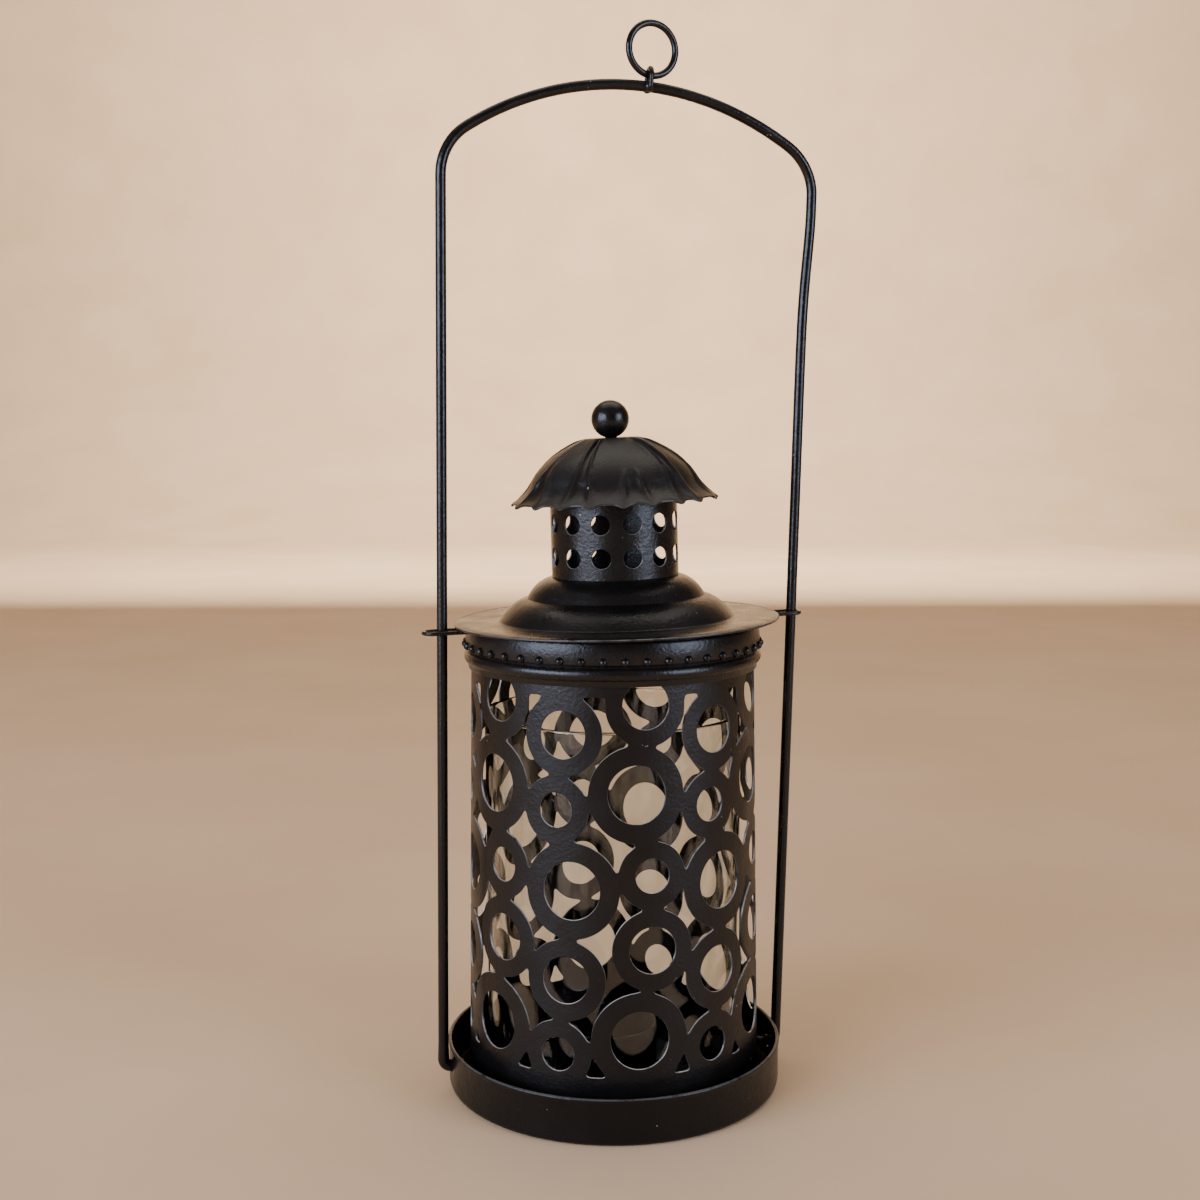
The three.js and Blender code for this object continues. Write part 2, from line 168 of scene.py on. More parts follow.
# The cap sits askew on the chimney: with its ball it leans further towards -X, about this height.
CAP_LEAN = 1.3
CAP_LEAN_HEIGHT = 38
CAP_PLACE = (
    STACK_PLACE @ Matrix.Translation((0, 0, CAP_LEAN_HEIGHT))
    @ Matrix.Rotation(-math.radians(CAP_LEAN), 4, "Y")
    @ Matrix.Translation((0, 0, -CAP_LEAN_HEIGHT))
)
BALL_RADIUS = 7.2
BALL_HEIGHT = 59.7
NECK_RADIUS = 2.1
RIVET_RADIUS = 1.5
RIVET_HEAD = 3.5

# The bail's frame: the line between its feet, leaning as a whole towards +X.
BAIL_FOOT_HEIGHT = 8.6
BAIL_LEAN = 1.14
BAIL_PLACE = (
    Matrix.Translation((0, 0, BAIL_FOOT_HEIGHT)) @ Matrix.Rotation(math.radians(BAIL_LEAN), 4, "Y")
)
BAIL_RADIUS = 2  # of its wire
BAIL_FOOT = 68.1
BAIL_REACH = 7.7  # length of each foot, from the leg inwards
FOOT_BEND = 3  # radius of the bend between foot and leg
BAIL_LEG = 338.7
BAIL_SPLAY = 0.0085  # how far a leg leans out, for each millimetre up
SHOULDER = 21
ARCH = 111
# The right leg bulges out a little below its shoulder.
FLARE_SIZE = 2.2
FLARE_HEIGHT = 334
FLARE_REACH = 28
HAMMERED = 0.22  # how much thicker the wire is at the left foot
HAMMERED_TOP = 9

STAPLE_OFFSET = 7.05  # from the top of the arch, along +X
STAPLE_HALF = 3.3
STAPLE_LEG = 3.4
# The wires of the staple and the ring are a little thinner than the CAD's, because round wires of
# the full size would touch when the ring swings.
STAPLE_WIRE = 0.92
RING_WIRE = 1.28
CAD_RING_THICKNESS = 2.7
RING_TURN = 10  # degrees


# ---- Meshes ---------------------------------------------------------------------------------

def outward(vertices, faces):
    """Turns the faces of a closed surface outwards."""
    volume = 0
    for face in faces:
        a = vertices[face[0]]
        for b, c in zip(face[1:-1], face[2:]):
            volume += np.dot(a, np.cross(vertices[b], vertices[c]))
    return faces if volume > 0 else [tuple(reversed(face)) for face in faces]


def make_piece(name, parts, look, body, node, place=Matrix(), sharp=35):
    """One object from closed surfaces, given as (vertices, faces) or (vertices, faces, bright
    shares).

    It stands for a CAD node and rides on a body. The third list says how far each vertex turns to
    the bright metal colour, from 0 to 1: worn paint, the hem's pale line, and the painted highlight
    on the tray's lip. Edges sharper than so many degrees stay sharp.
    """
    all_vertices, all_faces, all_bare_and_highlight = [], [], []
    for part in parts:
        vertices = np.asarray(part[0], dtype=float)
        faces = outward(vertices, part[1])
        start = len(all_vertices)
        all_vertices.extend(vertices)
        all_faces.extend(tuple(i + start for i in face) for face in faces)
        all_bare_and_highlight.extend(part[2] if len(part) > 2 else np.zeros(len(vertices)))
    mesh = bpy.data.meshes.new(name)
    mesh.from_pydata([place @ Vector(v) * MM for v in all_vertices], [], all_faces)
    wear_and_highlight = mesh.attributes.new("bare_and_highlight", "FLOAT", "POINT")
    wear_and_highlight.data.foreach_set("value", np.asarray(all_bare_and_highlight, dtype=np.float32))
    mesh.shade_smooth()
    mesh.set_sharp_from_angle(angle=math.radians(sharp))
    mesh.materials.append(look["material"])
    piece = bpy.data.objects.new(name, mesh)
    bpy.context.collection.objects.link(piece)
    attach(piece, body)
    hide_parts(node)
    return piece


def placed(part, place):
    """The same closed surface, moved."""
    vertices, faces, bare_and_highlight = part
    return [place @ Vector(v) for v in vertices], faces, bare_and_highlight


def lathe(outline, segments, bare_and_highlight=None):
    """Turns an outline of (radius, height) round Z. It closes on itself or ends on the axis."""
    vertices, rings, wear_and_highlight = [], [], []
    for i, (radius, height) in enumerate(outline):
        paleness = bare_and_highlight[i] if bare_and_highlight else 0
        if radius < 1e-6:
            rings.append([len(vertices)] * segments)
            vertices.append((0, 0, height))
            wear_and_highlight.append(paleness)
            continue
        rings.append(list(range(len(vertices), len(vertices) + segments)))
        for k in range(segments):
            angle = 2 * math.pi * k / segments
            vertices.append((radius * math.cos(angle), radius * math.sin(angle), height))
            wear_and_highlight.append(paleness)
    on_axis = outline[0][0] < 1e-6
    pairs = list(zip(rings, rings[1:]))
    if not on_axis:
        pairs.append((rings[-1], rings[0]))
    faces = []
    for low, high in pairs:
        for k in range(segments):
            n = (k + 1) % segments
            corners = [low[k], low[n], high[n], high[k]]
            faces.append(tuple(dict.fromkeys(corners)))
    return vertices, faces, wear_and_highlight


def sweep(points, radius, sides, closed=False):
    """A round wire along a path, with rounded ends. radius may differ from point to point."""
    points = np.asarray(points, dtype=float)
    count = len(points)
    radii = np.full(count, radius, dtype=float) if np.isscalar(radius) else np.asarray(radius)
    if closed:
        tangents = np.roll(points, -1, 0) - np.roll(points, 1, 0)
    else:
        tangents = np.gradient(points, axis=0)
        # Two more sections close to each end make it round.
        start, end = tangents[0], tangents[-1]
        unit_start = start / np.linalg.norm(start)
        unit_end = end / np.linalg.norm(end)
        r0, r1 = radii[0], radii[-1]
        points = np.vstack([
            points[0] - unit_start * r0 * 0.35, points[0] - unit_start * r0 * 0.2, points,
            points[-1] + unit_end * r1 * 0.2, points[-1] + unit_end * r1 * 0.35,
        ])
        radii = np.concatenate([[r0 * 0.6, r0 * 0.88], radii, [r1 * 0.88, r1 * 0.6]])
        tangents = np.vstack([start, start, tangents, end, end])
    tangents /= np.linalg.norm(tangents, axis=1)[:, None]
    side = np.cross(tangents[0], (0.1, 0.9, 0.2))
    vertices = []
    for i, tangent in enumerate(tangents):
        side = side - tangent * np.dot(side, tangent)
        side /= np.linalg.norm(side)
        up = np.cross(tangent, side)
        for k in range(sides):
            angle = 2 * math.pi * k / sides
            offset = side * math.cos(angle) + up * math.sin(angle)
            vertices.append(points[i] + offset * radii[i])
    faces = []
    rings = len(points)
    for i in range(rings if closed else rings - 1):
        low, high = i * sides, ((i + 1) % rings) * sides
        for k in range(sides):
            n = (k + 1) % sides
            faces.append((low + k, low + n, high + n, high + k))
    if not closed:
        faces.append(tuple(reversed(range(sides))))
        faces.append(tuple(range((rings - 1) * sides, rings * sides)))
    return np.array(vertices), faces


def arc(middle_x, middle_z, radius, start, end, steps):
    """Points of an arc in the XZ plane, angles in degrees from +X towards +Z."""
    angles = np.radians(np.linspace(start, end, steps + 1))
    return [(middle_x + radius * math.cos(a), 0, middle_z + radius * math.sin(a)) for a in angles]


def bend_at(start, control, end, share):
    """One point of a quadratic curve, at a share of the way from 0 to 1."""
    weights = ((1 - share) ** 2, 2 * share * (1 - share), share * share)
    return tuple(
        weights[0] * a + weights[1] * c + weights[2] * b
        for a, c, b in zip(start, control, end)
    )


def bend(start, control, end, steps):
    """Points of a quadratic curve."""
    return [bend_at(start, control, end, share) for share in np.linspace(0, 1, steps + 1)]


def lerp(a, b, share):
    """A point part of the way from a to b."""
    return tuple(x + (y - x) * share for x, y in zip(a, b))


def rounded(outline, radius, steps, closed=True):
    """Rounds each corner of an outline by up to the given radius."""
    result = []
    count = len(outline)
    for i, corner in enumerate(outline):
        if not closed and i in (0, count - 1):
            result.append(corner)
            continue
        before, after = outline[i - 1], outline[(i + 1) % count]
        cut_before = min(radius, math.dist(corner, before) * 0.45)
        cut_after = min(radius, math.dist(corner, after) * 0.45)
        start = lerp(corner, before, cut_before / max(math.dist(corner, before), 1e-9))
        end = lerp(corner, after, cut_after / max(math.dist(corner, after), 1e-9))
        result.extend(bend(start, corner, end, steps))
    return result


def round_tip(start, end, ahead, steps=3):
    """Points that round off the edge of a sheet, from one face to the other."""
    middle = (start + end) / 2
    half = (start - end) / 2
    reach = np.linalg.norm(half) * 0.6
    angles = np.linspace(0, math.pi, steps + 2)[1:-1]
    return [tuple(middle + half * math.cos(a) + ahead * reach * math.sin(a)) for a in angles]


def sheet_loop(curve, thickness=SHEET):
    """Closed outline of a sheet with rounded edges. The curve is its outer face."""
    curve = np.asarray(curve, dtype=float)
    run = np.gradient(curve, axis=0)
    run /= np.linalg.norm(run, axis=1)[:, None]
    inward = np.column_stack([run[:, 1], -run[:, 0]])
    inner = curve + inward * thickness
    outline = [tuple(p) for p in curve]
    outline += round_tip(curve[-1], inner[-1], run[-1])
    outline += [tuple(p) for p in inner[::-1]]
    outline += round_tip(inner[0], curve[0], -run[0])
    return outline


def dome(radius, rise, segments=14, rings=5):
    """A low round boss standing on Z = 0, with its flat back a little below."""
    outline = [(0, -0.3), (radius, -0.3)]
    for k in range(rings + 1):
        angle = math.pi / 2 * k / rings
        outline.append((radius * math.cos(angle) if k < rings else 0, rise * math.sin(angle)))
    return lathe(outline, segments)


# ---- Sheets pierced with holes and rolled into a tube ---------------------------------------

def soft_min(a, b, softness):
    """The smaller of two fields, with the corner between them rounded."""
    mix = np.maximum(softness - np.abs(a - b), 0) / softness
    return np.minimum(a, b) - mix * mix * softness / 4


def trace_loops(field, width, low, high, cell):
    """Closed loops where the field is zero, each as an array of points."""
    xs = np.arange(-cell, width + 2 * cell, cell)
    zs = np.arange(low - cell, high + 2 * cell, cell)
    grid_x, grid_z = np.meshgrid(xs, zs, indexing="ij")
    values = field(grid_x, grid_z)
    values[np.abs(values) < 1e-7] = 1e-7
    inside = values < 0
    crossing = {}

    def cut_point(i0, j0, i1, j1):
        key = (i0, j0, i1, j1)
        if key not in crossing:
            a, b = values[i0, j0], values[i1, j1]
            t = a / (a - b)
            crossing[key] = (
                xs[i0] + (xs[i1] - xs[i0]) * t,
                zs[j0] + (zs[j1] - zs[j0]) * t,
            )
        return key

    links = {}
    mixed = inside[:-1, :-1].astype(int) + inside[1:, :-1] + inside[1:, 1:] + inside[:-1, 1:]
    for i, j in np.argwhere((mixed > 0) & (mixed < 4)):
        sides = [
            (i, j, i + 1, j), (i + 1, j, i + 1, j + 1), (i, j + 1, i + 1, j + 1), (i, j, i, j + 1),
        ]
        cut = [cut_point(*s) for s in sides if inside[s[0], s[1]] != inside[s[2], s[3]]]
        if len(cut) == 4 and inside[i, j]:
            cut = [cut[3], cut[0], cut[1], cut[2]]
        for a, b in zip(cut[::2], cut[1::2]):
            links.setdefault(a, []).append(b)
            links.setdefault(b, []).append(a)
    loops = []
    unseen = set(links)
    while unseen:
        first = min(unseen)
        loop = [first]
        unseen.discard(first)
        while True:
            ahead = [n for n in links[loop[-1]] if n in unseen]
            if not ahead:
                break
            loop.append(ahead[0])
            unseen.discard(ahead[0])
        loops.append(np.array([crossing[key] for key in loop]))
    return loops


def slope(field, points):
    """How steeply a field rises in x and in z at each point."""
    step = 0.02
    x, z = points[:, 0], points[:, 1]
    return np.column_stack([
        field(x + step, z) - field(x - step, z),
        field(x, z + step) - field(x, z - step),
    ]) / (2 * step)


def settle(field, points):
    """Moves points on to the line where the field is zero."""
    for _ in range(3):
        run = slope(field, points)
        size = np.maximum((run ** 2).sum(1), 0.05)
        points = points - run * (field(points[:, 0], points[:, 1]) / size)[:, None]
    return points


def respace(loop, spacing):
    """Points at even steps round a closed loop."""
    closed = np.vstack([loop, loop[:1]])
    lengths = np.linalg.norm(np.diff(closed, axis=0), axis=1)
    travel = np.concatenate([[0], np.cumsum(lengths)])
    count = max(int(round(travel[-1] / spacing)), 8)
    marks = np.linspace(0, travel[-1], count, endpoint=False)
    return np.column_stack([np.interp(marks, travel, closed[:, k]) for k in (0, 1)])


def pierced_tube(field, width, low, high, roll, spacing, bevel):
    """A sheet whose metal is where the field is below zero, rolled up by roll(x, depth, z)."""
    cell = 0.5
    crumb = 12  # a loop of so many points or fewer is left out
    loops = trace_loops(field, width, low, high, cell)
    loops = [respace(loop, spacing) for loop in loops if len(loop) > crumb]
    loops = [settle(field, loop) for loop in loops]
    edge = np.vstack(loops)
    run = slope(field, edge)
    run /= np.maximum(np.linalg.norm(run, axis=1), 1e-6)[:, None]
    face_edge = edge - run * bevel

    # Points inside the metal, so that the faces can follow the bend.
    pitch = 3.0
    margin = 1.0  # how far they stay from the edges
    xs = np.arange(pitch / 2, width, pitch)
    zs = np.arange(low + pitch / 2, high, pitch * 0.87)
    grid_x, grid_z = np.meshgrid(xs, zs, indexing="ij")
    grid_x[:, ::2] += pitch / 2
    filling = np.column_stack([grid_x.ravel(), grid_z.ravel()])
    filling = filling[field(filling[:, 0], filling[:, 1]) < -bevel - margin]

    flat = np.vstack([face_edge, filling])
    sides = []
    start = 0
    for loop in loops:
        count = len(loop)
        sides.extend((start + k, start + (k + 1) % count) for k in range(count))
        start += count
    found = geometry.delaunay_2d_cdt([Vector(p) for p in flat], sides, [], 0, 1e-6)
    places, triangles, sources = found[0], found[2], found[3]
    original = [source[0] if source else -1 for source in sources]
    middle = np.array([
        np.mean([places[k] for k in triangle], axis=0) for triangle in triangles
    ])
    metal = field(middle[:, 0], middle[:, 1]) < -bevel
    front = [
        tuple(original[k] for k in triangle)
        for triangle, kept in zip(triangles, metal) if kept
    ]

    total = len(flat)
    rim = len(edge)
    vertices = [roll(x, 0, z) for x, z in flat]
    vertices += [roll(x, bevel, z) for x, z in edge]
    vertices += [roll(x, SHEET - bevel, z) for x, z in edge]
    vertices += [roll(x, SHEET, z) for x, z in flat]
    faces = list(front)
    faces += [tuple(reversed([k + total + 2 * rim for k in face])) for face in front]
    used = {(a, b) for face in front for a, b in zip(face, face[1:] + face[:1])}
    for a, b in sides:
        if (a, b) not in used:
            a, b = b, a
        if (a, b) not in used:
            continue
        levels = [0, total, total + rim, total + 2 * rim]
        for upper, lower in zip(levels, levels[1:]):
            faces.append((b + upper, a + upper, a + lower, b + lower))
    bare_and_highlight = np.zeros(len(vertices))
    bare_and_highlight[total:total + 2 * rim] = 1
    return np.array(vertices), faces, bare_and_highlight


# ---- Materials ------------------------------------------------------------------------------

BLACK = (0.0035, 0.003, 0.003)
WARM_BLACK = (0.007, 0.005, 0.004)
CAP_BLACK = (0.0045, 0.0038, 0.0035)
CAP_WARM_BLACK = (0.009, 0.0065, 0.005)
CUP_BLACK = (0.005, 0.0048, 0.0048)
CUP_WARM_BLACK = (0.009, 0.0075, 0.0065)
DUST = (0.46, 0.43, 0.39)
# Bright metal colour, used for worn edges and for painted highlights.
METAL_AND_HIGHLIGHT = (0.70, 0.67, 0.63)
GLASS_TINT = (0.93, 0.96, 0.95)
FLOOR_DARK = (0.66, 0.43, 0.24)
FLOOR_LIGHT = (0.71, 0.48, 0.28)


class Nodes:
    """Short names for building a material's node tree."""

    def __init__(self, name):
        self.material = bpy.data.materials.new(name)
        self.material.use_nodes = True
        self.tree = self.material.node_tree
        self.shader = self.tree.nodes["Principled BSDF"]
        coordinates = self.add("ShaderNodeTexCoord")
        self.place = coordinates.outputs["Object"]
        self.directions = coordinates.outputs["Normal"]

    def add(self, kind):
        return self.tree.nodes.new(kind)

    def link(self, source, target):
        self.tree.links.new(source, target)

    def noise(self, scale, detail=2.0, roughness=0.5):
        """Soft noise, from 0 to 1."""
        node = self.add("ShaderNodeTexNoise")
        node.inputs["Scale"].default_value = scale
        node.inputs["Detail"].default_value = detail
        node.inputs["Roughness"].default_value = roughness
        self.link(self.place, node.inputs["Vector"])
        return node.outputs["Fac"]

    def spots(self, scale):
        """Distance to the nearest of many scattered points."""
        node = self.add("ShaderNodeTexVoronoi")
        node.inputs["Scale"].default_value = scale
        self.link(self.place, node.inputs["Vector"])
        return node.outputs["Distance"]

    def remap(self, value, low, high, to_low=0.0, to_high=1.0):
        """Stretches a value from one range to another, and clamps it."""
        node = self.add("ShaderNodeMapRange")
        self.link(value, node.inputs["Value"])
        for key, number in zip(
            ("From Min", "From Max", "To Min", "To Max"), (low, high, to_low, to_high)
        ):
            node.inputs[key].default_value = number
        return node.outputs["Result"]

    def math(self, operation, a, b):
        """Joins two values, each a number or a socket."""
        node = self.add("ShaderNodeMath")
        node.operation = operation
        for socket, value in zip(node.inputs, (a, b)):
            if isinstance(value, (int, float)):
                socket.default_value = value
            else:
                self.link(value, socket)
        return node.outputs[0]

    def mix(self, factor, a, b):
        """Mixes two colours, each a tuple or a socket."""
        node = self.add("ShaderNodeMix")
        node.data_type = "RGBA"
        self.link(factor, node.inputs["Factor"])
        for key, value in ((6, a), (7, b)):
            if isinstance(value, tuple):
                node.inputs[key].default_value = (*value, 1)
            else:
                self.link(value, node.inputs[key])
        return node.outputs[2]

    def bump(self, heights):
        """Chains (height, strength, distance) bumps into the shader's normal."""
        normal = None
        for height, strength, distance in heights:
            node = self.add("ShaderNodeBump")
            node.inputs["Strength"].default_value = strength
            node.inputs["Distance"].default_value = distance
            self.link(height, node.inputs["Height"])
            if normal:
                self.link(normal, node.inputs["Normal"])
            normal = node.outputs["Normal"]
        self.link(normal, self.shader.inputs["Normal"])


def black_paint(slot, dark, warm, roughness, shine=0.26, peel=1.0):
    """Black paint with an orange-peel skin, faint brown clouds, pale specks, worn edges, and a
    painted highlight on edges that face up.

    dark and warm are the colours of the paint and of its clouds, shine is how strongly it
    reflects, and peel is how deep the orange peel is.
    """
    nodes = Nodes(slot)
    clouds = nodes.remap(nodes.noise(22, 4, 0.6), 0.35, 0.7)
    colour = nodes.mix(clouds, dark, warm)

    # Small pale specks of dust and chipped paint.
    specks = nodes.spots(420)
    size = nodes.remap(nodes.noise(160, 1), 0.45, 0.75, 0.0, 0.24)
    speck = nodes.math("LESS_THAN", specks, size)
    rare = nodes.math("GREATER_THAN", nodes.noise(60, 3, 0.7), 0.6)
    speck = nodes.math("MULTIPLY", nodes.math("MULTIPLY", speck, rare), 0.42)
    colour = nodes.mix(speck, colour, DUST)

    # Bright metal where the paint is worn off the cut edges. It is kept mostly on edges that face
    # up, a painted highlight of light from above; the same mix paints the highlight on the tray's
    # lip.
    wear_and_highlight = nodes.add("ShaderNodeAttribute")
    wear_and_highlight.attribute_name = "bare_and_highlight"
    patches = nodes.remap(nodes.noise(210, 4, 0.65), 0.30, 0.48)
    bare_and_highlight = nodes.math("MULTIPLY", nodes.math("POWER", wear_and_highlight.outputs["Fac"], 1.5), patches)
    facing = nodes.add("ShaderNodeSeparateXYZ")
    nodes.link(nodes.directions, facing.inputs["Vector"])
    # Painted highlight: edges facing up keep the bright colour, the others lose most of it.
    painted_top_highlight = nodes.remap(facing.outputs["Z"], 0.1, 0.75, 0.12, 1.0)
    bare_and_highlight = nodes.math("MULTIPLY", bare_and_highlight, painted_top_highlight)
    colour = nodes.mix(bare_and_highlight, colour, METAL_AND_HIGHLIGHT)
    nodes.link(colour, nodes.shader.inputs["Base Color"])
    nodes.link(nodes.math("MULTIPLY", bare_and_highlight, 0.75), nodes.shader.inputs["Metallic"])

    smear = nodes.remap(nodes.noise(70, 5, 0.6), 0.3, 0.7, roughness - 0.07, roughness + 0.09)
    nodes.link(smear, nodes.shader.inputs["Roughness"])
    nodes.shader.inputs["Specular IOR Level"].default_value = shine
    nodes.shader.inputs["Coat Weight"].default_value = 0.06
    nodes.shader.inputs["Coat Roughness"].default_value = 0.22
    nodes.bump([
        (nodes.noise(900, 2, 0.5), 0.34 * peel, 0.0004),
        (nodes.noise(150, 3, 0.5), 0.20 * peel, 0.0008),
    ])
    return {"material": nodes.material, "slot": slot}


def clear_glass():
    """Clear glass, a little wavy, with faint smudges."""
    nodes = Nodes("clear_glass")
    shader = nodes.shader
    shader.inputs["Base Color"].default_value = (*GLASS_TINT, 1)
    shader.inputs["Transmission Weight"].default_value = 1
    shader.inputs["IOR"].default_value = 1.47
    smudges = nodes.remap(nodes.noise(35, 5, 0.65), 0.5, 0.8, 0.0, 0.03)
    nodes.link(smudges, shader.inputs["Roughness"])
    nodes.bump([(nodes.noise(18, 1), 0.01, 0.0005)])
    return {"material": nodes.material, "slot": "clear_glass"}


TRAY_LOOK = black_paint("tray_paint", BLACK, WARM_BLACK, 0.30, shine=0.18)
CAGE_LOOK = black_paint("cage_paint", BLACK, WARM_BLACK, 0.34)
LID_LOOK = black_paint("lid_paint", BLACK, WARM_BLACK, 0.29, shine=0.30)
CAP_LOOK = black_paint("cap_paint", CAP_BLACK, CAP_WARM_BLACK, 0.40)
CAP_LOOK["slot"] = "lid_paint"  # the same paint, a little more matt
WIRE_LOOK = black_paint("wire_paint", BLACK, WARM_BLACK, 0.25, shine=0.30, peel=0.8)
CUP_LOOK = black_paint("cup_paint", CUP_BLACK, CUP_WARM_BLACK, 0.42)
GLASS_LOOK = clear_glass()


# ---- Base -----------------------------------------------------------------------------------

def drilled(vertices, faces, drills):
    """Cuts (centre, direction, radius) holes through a closed surface with Blender's boolean."""
    drill_reach = 5
    mesh = bpy.data.meshes.new("work")
    mesh.from_pydata([tuple(v) for v in vertices], [], outward(np.asarray(vertices), faces))
    work = bpy.data.objects.new("work", mesh)
    bpy.context.collection.objects.link(work)
    helpers = []
    for centre, direction, radius in drills:
        along = np.asarray(direction, dtype=float) * drill_reach
        points = [np.asarray(centre) - along, np.asarray(centre) + along]
        tool_mesh = bpy.data.meshes.new("drill")
        tool_vertices, tool_faces = sweep(points, radius, 32)
        tool_faces = outward(tool_vertices, tool_faces)
        tool_mesh.from_pydata([tuple(v) for v in tool_vertices], [], tool_faces)
        tool = bpy.data.objects.new("drill", tool_mesh)
        bpy.context.collection.objects.link(tool)
        cut = work.modifiers.new("cut", "BOOLEAN")
        cut.operation = "DIFFERENCE"
        cut.solver = "EXACT"
        cut.object = tool
        helpers.append(tool)
    graph = bpy.context.evaluated_depsgraph_get()
    result = work.evaluated_get(graph).to_mesh()
    new_vertices = np.array([tuple(v.co) for v in result.vertices])
    new_faces = [tuple(p.vertices) for p in result.polygons]
    work.evaluated_get(graph).to_mesh_clear()
    for helper in [work, *helpers]:
        bpy.data.objects.remove(helper)
    return new_vertices, new_faces


def make_tray():
    """The pressed tray: a floor, a wall with a rolled lip, and a hole for each foot of the bail."""
    wall = TRAY_WALL
    hollow = 0.25  # how far the middle of the underside stands off the ground
    outer_corner, inner_corner = 2.8, 3
    lip_foot = TRAY_HEIGHT - 2 * TRAY_LIP - 0.2
    # How far down from the lip's top the painted highlight reaches, and how strong it is.
    highlight_depth, wear_and_highlight = 0.5, 0.2
    outer = [(0, hollow), (wall - 9, hollow), (wall - 7.5, 0)]
    outer += bend((wall - outer_corner, 0), (wall, 0), (wall, outer_corner), 8)
    outer += [(wall, lip_foot)]
    centre = (wall - SHEET / 2, TRAY_HEIGHT - TRAY_LIP)
    lip = [
        (centre[0] + TRAY_LIP * math.cos(a), centre[1] + TRAY_LIP * math.sin(a))
        for a in np.radians(np.linspace(-40, 220, 12))
    ]
    face = wall - SHEET
    inner = [(face, lip_foot), (face, inner_corner)]
    inner += bend((face, inner_corner), (face, SHEET), (wall - inner_corner, SHEET), 5)[1:]
    inner += [(0, SHEET)]
    vertices, faces, _ = lathe(outer + lip + inner, 160)
    drills = []
    for side in (-1, 1):
        foot = BAIL_PLACE @ Vector((side * BAIL_FOOT, 0, 0))
        drills.append(((side * wall, 0, foot.z), (1, 0, 0), TRAY_HOLE))
    body = drilled(vertices, faces, drills)
    # The top of the rolled lip is mixed towards the bright metal colour: a painted highlight.
    bare_and_highlight = [wear_and_highlight if v[2] > TRAY_HEIGHT - highlight_depth else 0 for v in body[0]]
    make_piece("tray", [(*body, bare_and_highlight)], TRAY_LOOK, "base", "base_tray")


def cage_field(width):
    """Where the cage's flat sheet has metal: rings, the plain strips and the seam."""
    per_degree = CAGE_MEAN_RADIUS * math.pi / 180
    rings = []
    for repeat in range(-REPEATS // 2, REPEATS):
        for size, angle, height in RINGS:
            even = PATTERN_START + angle + repeat * 360 / REPEATS
            stretch = STRETCH_SIZE * math.sin(2 * math.radians(even - STRETCH_MIDDLE))
            turn = even + stretch - (SEAM_ANGLE - 360)
            rings.append((RING_OUTER[size], RING_HOLE[size], turn * per_degree, height))
    margin = 25  # a ring further out than this doesn't reach the sheet
    rings = [ring for ring in rings if -margin < ring[2] < width + margin]

    def field(x, z):
        metal = soft_min(z - STRIP_BOTTOM, STRIP_TOP - z, FILLET)
        open_space = np.full(np.shape(x), -FAR)
        for outer, hole, ring_x, ring_z in rings:
            distance = np.hypot(x - ring_x, z - ring_z)
            metal = soft_min(metal, distance - outer, FILLET)
            open_space = np.maximum(open_space, hole - distance)
        metal = np.maximum(metal, open_space)
        seam_bar = np.minimum(x, width - x) - SEAM_STRIP / 2
        metal = np.minimum(metal, seam_bar)
        border = np.maximum.reduce([-x, x - width, CAGE_FOOT - z, z - CAGE_TOP])
        return np.maximum(metal, border)

    return field


def make_cage():
    """The cage, a pierced sheet rolled into a tube that narrows a little upwards."""
    width = 2 * math.pi * CAGE_MEAN_RADIUS - SEAM_GAP
    start = math.radians(SEAM_ANGLE)

    def roll(x, depth, z):
        share = (z - CAGE_FOOT) / (CAGE_TOP - CAGE_FOOT)
        radius = CAGE_FOOT_RADIUS + (CAGE_TOP_RADIUS - CAGE_FOOT_RADIUS) * share - depth
        angle = start + (x + SEAM_GAP / 2) / CAGE_MEAN_RADIUS
        return radius * math.cos(angle), radius * math.sin(angle), z

    cage = pierced_tube(
        cage_field(width), width, CAGE_FOOT, CAGE_TOP, roll, spacing=0.8, bevel=0.16
    )
    make_piece("cage", [cage], CAGE_LOOK, "base", "pierced_cage")


def make_band():
    """The embossed strip round the cage: a rib, a row of beads and a collar above them."""
    curve = [(BAND_RADIUS, BAND_FOOT), (BAND_RADIUS, BAND_FOOT + 1.2)]
    for angle in np.radians(np.linspace(-78, 78, 13)):
        curve.append((
            BAND_RADIUS - 0.1 + 1.7 * math.cos(angle),
            RIB_HEIGHT + 2.3 * math.sin(angle),
        ))
    curve += bend((BAND_RADIUS, 172.1), (BAND_RADIUS + 0.05, 172.6), (BAND_RADIUS + 0.5, 172.9), 4)
    curve += bend((BAND_RADIUS + 0.8, 173.2), (57.1, 177.0), (56.2, 181.2), 10)
    outline = sheet_loop(curve[::-1], BAND_SHEET)[::-1]
    parts = [lathe(outline, 180)]
    out = Matrix.Translation((BAND_RADIUS + 0.8, 0, BEAD_HEIGHT))
    tilt = Matrix.Rotation(math.radians(90 + BEAD_TILT), 4, "Y")
    for i in range(BEAD_COUNT):
        angle = math.radians(BEAD_FIRST + 360 * i / BEAD_COUNT)
        place = Matrix.Rotation(angle, 4, "Z") @ out @ tilt
        parts.append(placed(dome(BEAD_RADIUS, BEAD_RISE), place))
    make_piece("band", parts, LID_LOOK, "base", "beaded_band")


def make_glass():
    """The open glass tube inside the cage."""
    radius = glass_high[0]
    inside = radius - GLASS_WALL
    low, high = glass_low[2], glass_high[2]
    outline = [(inside, low), (radius, low), (radius, high), (inside, high)]
    tube = lathe(rounded(outline, 0.9, 5), 160)
    make_piece("glass", [tube], GLASS_LOOK, "glass", "glass_cylinder", sharp=60)


